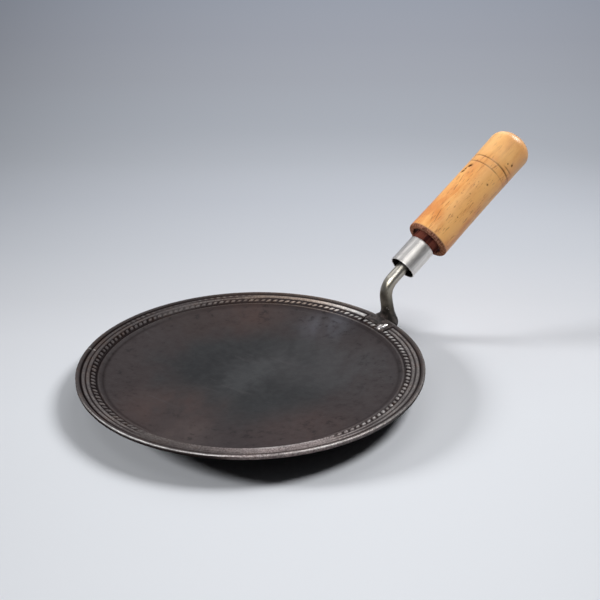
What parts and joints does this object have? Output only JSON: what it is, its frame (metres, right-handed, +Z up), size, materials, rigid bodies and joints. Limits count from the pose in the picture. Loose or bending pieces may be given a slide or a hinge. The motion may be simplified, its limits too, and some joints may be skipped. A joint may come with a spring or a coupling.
{
  "type": "tawa griddle",
  "caption": "Round dished iron tawa with a ridged and beaded rim, and a raised steel-stemmed handle with a turned wooden grip.",
  "frame": {"origin": "centre of the plate's flat base, on the surface that the tawa rests on", "axes": "+X along the handle away from the plate, +Z up out of the cooking surface"},
  "size_m": [0.3945, 0.25, 0.1519],
  "materials": {
    "iron": "seasoned, semi-gloss floor with warm brown edges, rim ridges worn bright on their crests",
    "stem_steel": "forged rod, polished by wear above, black-brown scale at the foot",
    "weld_metal": "weld metal, ground smooth on top of the rim, raw below it",
    "ferrule_steel": "satin drawn tube",
    "varnished_wood": "varnished, burnt rings, small dark scars and knots, stained dark at the spigot",
    "insert_steel": "plain turned steel"
  },
  "bodies": {
    "root": {"griddle_plate": "iron", "handle_stem": "stem_steel", "heel_weld": "weld_metal", "tongue_weld": "weld_metal", "ferrule": "ferrule_steel", "wooden_grip": "varnished_wood", "tang_insert": "insert_steel"}
  },
  "joints": []
}
